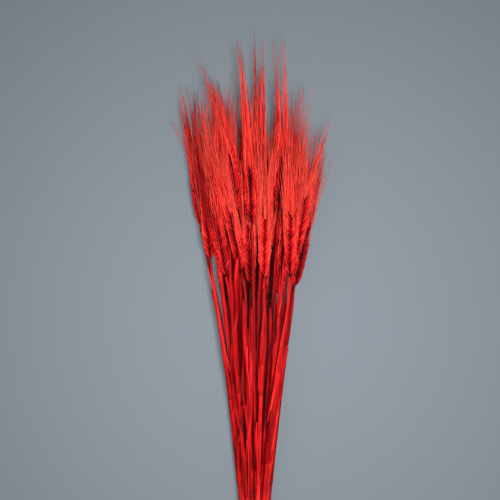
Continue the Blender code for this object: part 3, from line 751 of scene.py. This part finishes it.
# %% Grow every stalk
pieces = []
for stalk in stalks:
    growth = Growth()
    grow_straw(growth, stalk)
    grow_sheath(growth, stalk)
    grow_upper_leaf(growth, stalk)
    for row, side in leaves_on[stalk["name"]]:
        grow_blade(growth, stalk, row, side)
    grow_awns(growth, stalk, grow_ear(growth, stalk))
    piece = bpy.data.objects.new("wheat_" + stalk["name"], growth.mesh("wheat_" + stalk["name"], finishes))
    bpy.context.scene.collection.objects.link(piece)
    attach(piece, "root")
    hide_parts(stalk["name"])
    pieces.append(piece)
triangles = sum(len(face.vertices) - 2 for piece in pieces for face in piece.data.polygons)
print("triangles in all stalks:", triangles)

# %% [markdown]
# ## The tie
#
# The photograph ends above the tie, so this one is a plain guess: seven turns of three-ply jute twine, pulled tight,
# knotted and cut short. A cord is three soft plies laid round each other. Drawing that lay is what makes it a cord:
# stripes painted on a smooth tube go flat wherever the tube turns away.

# %% Lay the twine
PLY_RADIUS = 0.53
LAY_LENGTH = 6.5
TURNS, PITCH = 7, 2.12
STRAND_STEP = 0.75
tie_corners = np.array([tuple(v.co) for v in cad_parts["tie"].data.vertices]) / MM
tie_height = (tie_corners[:, 2].max() + tie_corners[:, 2].min()) / 2
coil_radius = (tie_corners[:, 2].max() - tie_corners[:, 2].min()) / 2 - 2 * PLY_RADIUS - 0.15


def even_path(points):
    """The same path with its steps evened out to about a strand step."""
    length = np.concatenate([[0], np.cumsum(np.linalg.norm(np.diff(points, axis=0), axis=1))])
    even = np.linspace(0, length[-1], max(4, int(length[-1] / STRAND_STEP)))
    return np.stack([np.interp(even, length, points[:, k]) for k in range(3)], axis=1), even


def lay_plies(growth, points, fray=0.0):
    """Three plies laid round a path. Where fray is given they open towards the end."""
    centre, along = even_path(np.asarray(points, float))
    heading = unit(np.gradient(centre, axis=0))
    out = [unit(np.cross(heading[0], (0.3, 0.2, 0.9)))]
    for way in heading[1:]:
        out.append(unit(out[-1] - way * (out[-1] @ way)))
    out = np.array(out)
    across = np.cross(heading, out)
    open_by = 1 + fray * np.clip((along - along[-1] + 4) / 4, 0, 1) ** 2
    plies = []
    for ply in range(3):
        turn = 2 * math.pi * (along / LAY_LENGTH + ply / 3)
        away = (PLY_RADIUS * 1.12 * open_by)[:, None]
        plies.append(centre + away * (np.cos(turn)[:, None] * out + np.sin(turn)[:, None] * across))
    radius = np.full((3, len(centre)), PLY_RADIUS) * np.where(open_by > 1.5, 0.8, 1)
    part = skin(np.array(plies), out[None], round_outline(radius, 6))
    wave = 0.5 + 0.2 * np.sin(along * 0.9)[None] + np.array((-0.12, 0.0, 0.12))[:, None]
    growth.add(part, 0, np.repeat(wave.ravel(), 6))
    return centre, out


def bend(a, b, c, d, steps=30):
    """A smooth path from a to d, drawn towards b and c on its way."""
    t = np.linspace(0, 1, steps)[:, None]
    a, b, c, d = (np.array(corner, float) for corner in (a, b, c, d))
    return (1 - t) ** 3 * a + 3 * t * (1 - t) ** 2 * b + 3 * t ** 2 * (1 - t) * c + t ** 3 * d


tie = Growth()
round_by = np.linspace(0, TURNS * 2 * math.pi, TURNS * 90)
coil = np.stack([coil_radius * np.sin(round_by), PITCH * (round_by / (2 * math.pi) - TURNS / 2),
                 tie_height + coil_radius * np.cos(round_by)], axis=1)
coil_centre, coil_out = lay_plies(tie, coil)
top = tie_height + coil_radius + 2 * PLY_RADIUS
knot_turn = np.linspace(0.25, 2 * math.pi - 0.1, 90)
knot = np.stack([1.15 * (np.sin(knot_turn) + 2 * np.sin(2 * knot_turn)),
                 1.15 * (np.cos(knot_turn) - 2 * np.cos(2 * knot_turn)),
                 top + 1.5 - 1.15 * np.sin(3 * knot_turn)], axis=1)
lay_plies(tie, knot)
lay_plies(tie, bend((-1, 0, top + 1.2), (-5, -2, top + 3.6), (-10, -6, top + 3.0), (-15, -12, top - 2)), fray=1.2)
lay_plies(tie, bend((1, 0, top + 1.2), (5, 3, top + 3.8), (9, 8, top + 3.0), (13, 15, top + 1.5)), fray=1.2)
print("coil radius:", round(float(coil_radius), 2), "mm, twine", round(PLY_RADIUS * 4.2, 1), "mm thick")

# %% [markdown]
# Jute sheds fibres. A few dozen hairs that stand off the cord do more for it than any amount of surface, because they
# are what the eye looks for along its edge.

# %% Let the fibres stand off
FIBRES = 260

fibre_rng = np.random.default_rng(GROWING_SEED)
chosen = fibre_rng.integers(0, len(coil_centre), FIBRES)
starts = coil_centre[chosen]
radial = unit(starts - np.stack([np.zeros(FIBRES), starts[:, 1], np.full(FIBRES, tie_height)], axis=1))
slant = unit(radial + fibre_rng.normal(0, 0.8, (FIBRES, 3)))
slant = np.where((np.sum(slant * radial, axis=1) < 0.15)[:, None], radial, slant)
t = np.linspace(0, 1, 5)[None, :, None]
hairs = starts[:, None] + radial[:, None] * 0.8 + t * slant[:, None] * fibre_rng.uniform(1, 3.2, (FIBRES, 1, 1))
hairs = hairs + t ** 2 * fibre_rng.normal(0, 0.5, (FIBRES, 1, 3))
hairs[..., 2] = np.maximum(hairs[..., 2], 0.2)
hair_radius = np.linspace(0.07, 0.025, 5)[None].repeat(FIBRES, 0)
tie.add(skin(hairs, radial[:, None], round_outline(hair_radius, 3)), 0, 0.8)

twine_finish = dyed("jute twine", ((0.15, 0.085, 0.04), (0.34, 0.22, 0.11), (0.52, 0.38, 0.22), (0.66, 0.52, 0.34)),
                    roughness=0.85, fibres=5, tone_share=0.5, ridge=0.6, gloss=0.1)
tie_piece = bpy.data.objects.new("twine_tie", tie.mesh("twine_tie", [twine_finish]))
bpy.context.scene.collection.objects.link(tie_piece)
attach(tie_piece, "root")
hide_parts("tie")
print("triangles in the tie:", sum(len(face.vertices) - 2 for face in tie_piece.data.polygons))

# %% [markdown]
# ## Floor, light and camera
#
# The bunch lies on its side, so the camera that saw it upright looks straight down. The photograph has a plain
# blue-grey ground and broad, soft light, a little stronger from the lower right.

# %% Set the studio
def floor_finish():
    """A blue-grey ground with painted light and shade: palest at the bunch's middle, darker in a ring round it, as in
    the photograph, and paler again far off, as painted light where the lamps reach little.
    """
    finish = bpy.data.materials.new("blue-grey ground")
    finish.use_nodes = True
    nodes, links = finish.node_tree.nodes, finish.node_tree.links
    shader = nodes["Principled BSDF"]
    shader.inputs["Roughness"].default_value = 0.9
    shader.inputs["Specular IOR Level"].default_value = 0.1
    place = nodes.new("ShaderNodeTexCoord")
    centred = nodes.new("ShaderNodeMapping")
    centred.inputs["Location"].default_value = (-0.01 / GROUND_FADE, -0.24 / GROUND_FADE, 0)
    centred.inputs["Scale"].default_value = (1 / GROUND_FADE, 1 / GROUND_FADE, 1 / GROUND_FADE)
    painted_falloff = nodes.new("ShaderNodeTexGradient")
    painted_falloff.gradient_type = "SPHERICAL"
    cloud = nodes.new("ShaderNodeTexNoise")
    cloud.inputs["Scale"].default_value = 4
    mixed = nodes.new("ShaderNodeMix")
    mixed.inputs["Factor"].default_value = 0.03
    ramp = nodes.new("ShaderNodeValToRGB")
    ramp.color_ramp.elements.new(0.5)
    # Painted light and shade on the ground: light at the middle, darkest about 0.7 m away, light again far off.
    greys = ((0.1, (0.36, 0.40, 0.43)), (0.74, (0.088, 0.102, 0.114)), (0.985, (0.182, 0.210, 0.236)))
    for element, (place_on_ramp, grey) in zip(ramp.color_ramp.elements, greys):
        element.position = place_on_ramp
        element.color = (*grey, 1)
    links.new(place.outputs["Object"], centred.inputs["Vector"])
    links.new(centred.outputs["Vector"], painted_falloff.inputs["Vector"])
    links.new(painted_falloff.outputs["Fac"], mixed.inputs["A"])
    links.new(cloud.outputs["Fac"], mixed.inputs["B"])
    links.new(mixed.outputs["Result"], ramp.inputs["Fac"])
    links.new(ramp.outputs["Color"], shader.inputs["Base Color"])
    return finish


GROUND_FADE = 2.7
half = 6
ground = bpy.data.meshes.new("ground")
ground.from_pydata([(-half, -half, 0), (half, -half, 0), (half, half, 0), (-half, half, 0)], [], [(0, 1, 2, 3)])
ground.materials.append(floor_finish())
floor = bpy.data.objects.new("ground", ground)
floor.location.z = -0.0005
bpy.context.scene.collection.objects.link(floor)


def soft_light(name, place, aim, size, watts, colour):
    """A square soft box at place that shines at aim."""
    lamp = bpy.data.lights.new(name, "AREA")
    lamp.size, lamp.energy, lamp.color = size, watts, colour
    box = bpy.data.objects.new(name, lamp)
    box.location = place
    box.rotation_euler = (Vector(aim) - Vector(place)).to_track_quat("-Z", "Y").to_euler()
    bpy.context.scene.collection.objects.link(box)


soft_light("key box", (0.09, 0.13, 1.2), (0.01, 0.3, 0), 0.28, 22, (1.0, 0.99, 0.98))
soft_light("fill box", (-0.6, 0.6, 1.3), (0, 0.27, 0), 0.9, 3, (0.98, 0.99, 1.0))
world = bpy.data.worlds.new("studio air")
world.use_nodes = True
world.node_tree.nodes["Background"].inputs["Color"].default_value = (0.94, 0.97, 1.0, 1)
world.node_tree.nodes["Background"].inputs["Strength"].default_value = 0.17
bpy.context.scene.world = world
bpy.context.scene.view_settings.view_transform = "Standard"
print("ground, two soft boxes and the studio air are set")

# %% Set the camera
lens = bpy.data.cameras.new("photographer")
lens.lens, lens.sensor_width = 85, 36
camera = bpy.data.objects.new("photographer", lens)
camera.location = (-0.005, 0.295, 0.04 + 0.5 * lens.lens / lens.sensor_width)
bpy.context.scene.collection.objects.link(camera)
bpy.context.scene.camera = camera
print("camera height:", round(camera.location.z, 3), "m")
